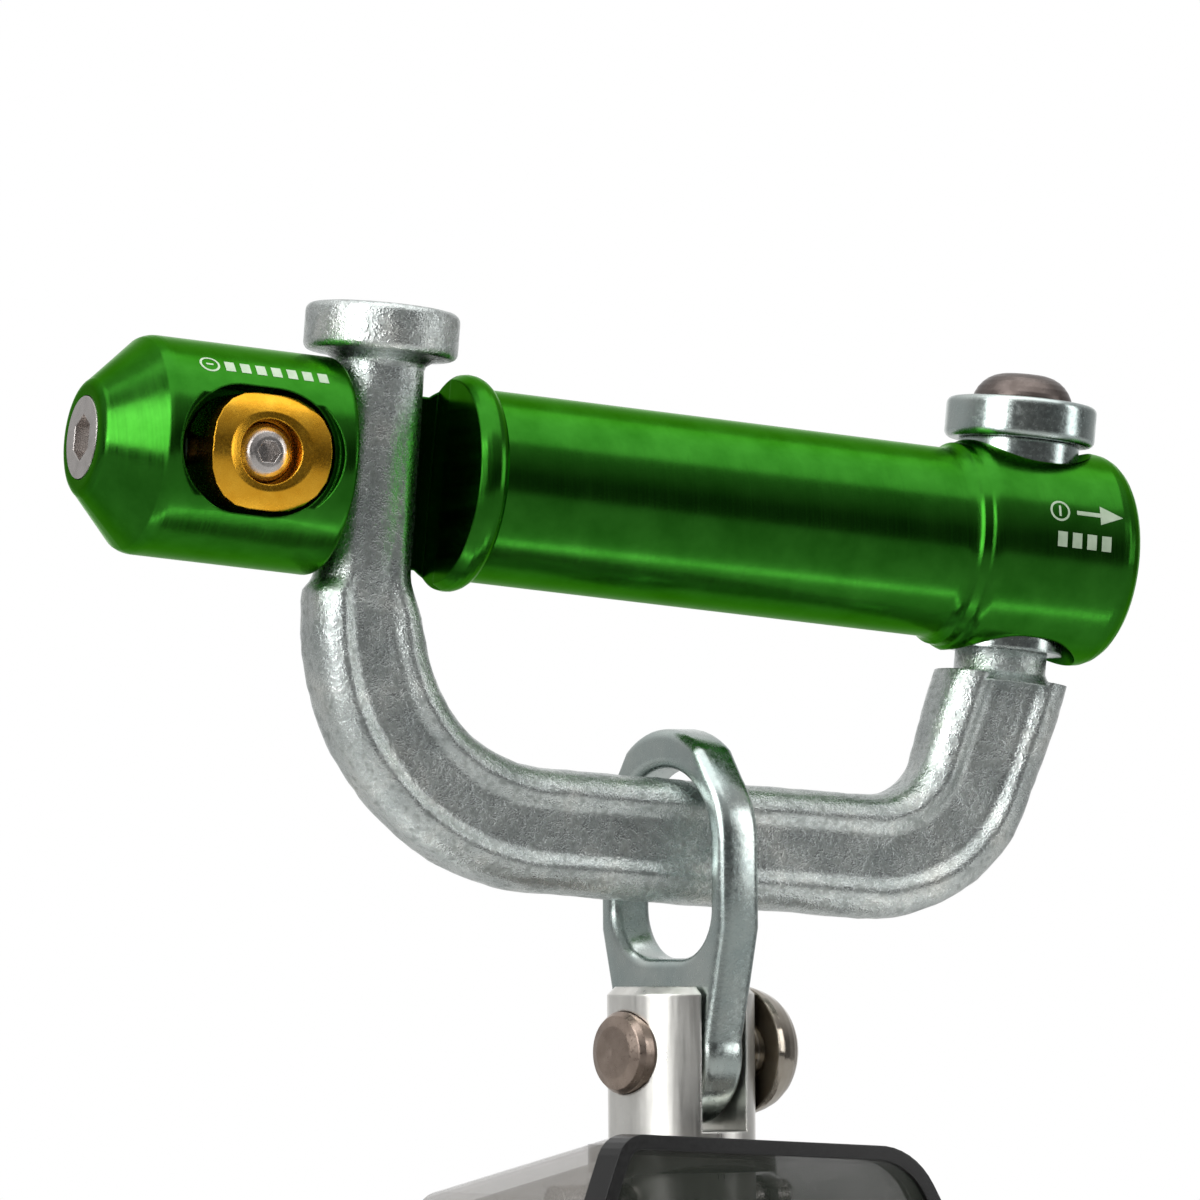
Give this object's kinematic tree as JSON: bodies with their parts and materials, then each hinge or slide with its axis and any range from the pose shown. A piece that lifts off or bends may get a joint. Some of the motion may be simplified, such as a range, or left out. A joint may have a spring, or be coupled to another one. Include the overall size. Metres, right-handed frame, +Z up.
{
  "type": "zip line trolley",
  "caption": "Locking crossbar connector with a forged bow, link plate and clevis above a two-sheave cable carriage in a smoked housing.",
  "frame": {"origin": "on the crossbar's axis, above the link plate", "axes": "+Z up; +X along the crossbar towards its pivot end, which hangs 6 degrees low; the lock window faces -Y"},
  "size_m": [0.1367, 0.066, 0.1786],
  "materials": {
    "green_anodised": "satin anodised, lightly scuffed",
    "gold_anodised": "satin gold anodised",
    "red_oxide": "dark red-brown",
    "zinc_forged": "zinc plated forging",
    "zinc_plate": "zinc plated sheet",
    "bright_steel": "bright",
    "dark_steel": "dark domed head",
    "brown_steel": "heat tinted",
    "spring_steel": "drawn wire",
    "clevis_alloy": "polished",
    "bronze": "sintered",
    "black_plate": "black powder coat",
    "sheave_alloy": "turned",
    "smoked_shell": "smoked translucent plastic",
    "clear_cover": "clear tinted plastic",
    "black_rubber": "moulded",
    "black_nylon": "moulded"
  },
  "bodies": {
    "crossbar": {"crossbar": "green_anodised", "nose_screw": "bright_steel", "lock_spring": "spring_steel", "end_plug": "black_nylon", "bar_spring": "spring_steel"},
    "lock": {"lock_slider": "gold_anodised", "slider_screw": "bright_steel", "lock_bolt": "red_oxide"},
    "pivot": {"pivot_bush": "zinc_plate", "pivot_washer": "zinc_plate"},
    "bow": {"bow": "zinc_forged", "pivot_rivet": "dark_steel"},
    "link": {"link_plate": "zinc_plate", "link_bush": "bronze"},
    "carriage": {"clevis": "clevis_alloy", "clevis_pin": "bright_steel", "pin_collar": "brown_steel", "cross_rod": "bright_steel", "rod_rings": "black_rubber", "side_plate_front": "black_plate", "side_plate_back": "black_plate", "hanger_bolt": "bright_steel", "hanger_nut": "bright_steel", "tie_spacers": "sheave_alloy", "tie_bolts": "bright_steel", "tie_nuts": "bright_steel", "bearing_inner_rings": "bright_steel", "axle_bolts": "bright_steel", "axle_nuts": "bright_steel", "axle_spacers": "sheave_alloy", "guide_bushes": "black_nylon", "tub": "smoked_shell", "front_cover": "clear_cover", "rim_gasket": "black_rubber", "cover_screws": "bright_steel", "post_grommet": "black_rubber"},
    "left_sheave": {"sheave_left": "sheave_alloy", "sheave_cheeks_left": "sheave_alloy", "bearing_rings_left": "dark_steel", "bearing_balls_left": "bright_steel"},
    "right_sheave": {"sheave_right": "sheave_alloy", "sheave_cheeks_right": "sheave_alloy", "bearing_rings_right": "dark_steel", "bearing_balls_right": "bright_steel"}
  },
  "joints": [
    {"name": "lock_slide", "type": "slide", "parent": "crossbar", "child": "lock", "axis": [-0.9945, 0, 0.1045], "range_m": [0, 0.0025], "stiffness_N_per_m": 400, "springref_m": -0.004, "deforming": ["lock_spring"]},
    {"name": "bar_slide", "type": "slide", "parent": "crossbar", "child": "pivot", "axis": [0.9945, 0, -0.1045], "range_m": [0, 0.0015], "stiffness_N_per_m": 4000, "springref_m": -0.001, "deforming": ["bar_spring"]},
    {"name": "bow_swing", "type": "hinge", "parent": "pivot", "child": "bow", "pos_m": [0.04078, 0, -0.00429], "axis": [0.1045, 0, 0.9945], "range_deg": [0, 100]},
    {"name": "link_swing", "type": "hinge", "parent": "bow", "child": "link", "pos_m": [-0.00422, 0, -0.04011], "axis": [0.9972, 0, -0.0745], "range_deg": [-25, 25]},
    {"name": "clevis_hinge", "type": "hinge", "parent": "link", "child": "carriage", "pos_m": [-0.00422, 0, -0.06571], "axis": [0.9636, 0.2672, 0], "range_deg": [-60, 60]},
    {"name": "left_sheave_spin", "type": "hinge", "parent": "carriage", "child": "left_sheave", "pos_m": [-0.02464, -0.00567, -0.12781], "axis": [-0.2672, 0.9636, 0], "continuous": true},
    {"name": "right_sheave_spin", "type": "hinge", "parent": "carriage", "child": "right_sheave", "pos_m": [0.01621, 0.00567, -0.12781], "axis": [-0.2672, 0.9636, 0], "continuous": true}
  ]
}
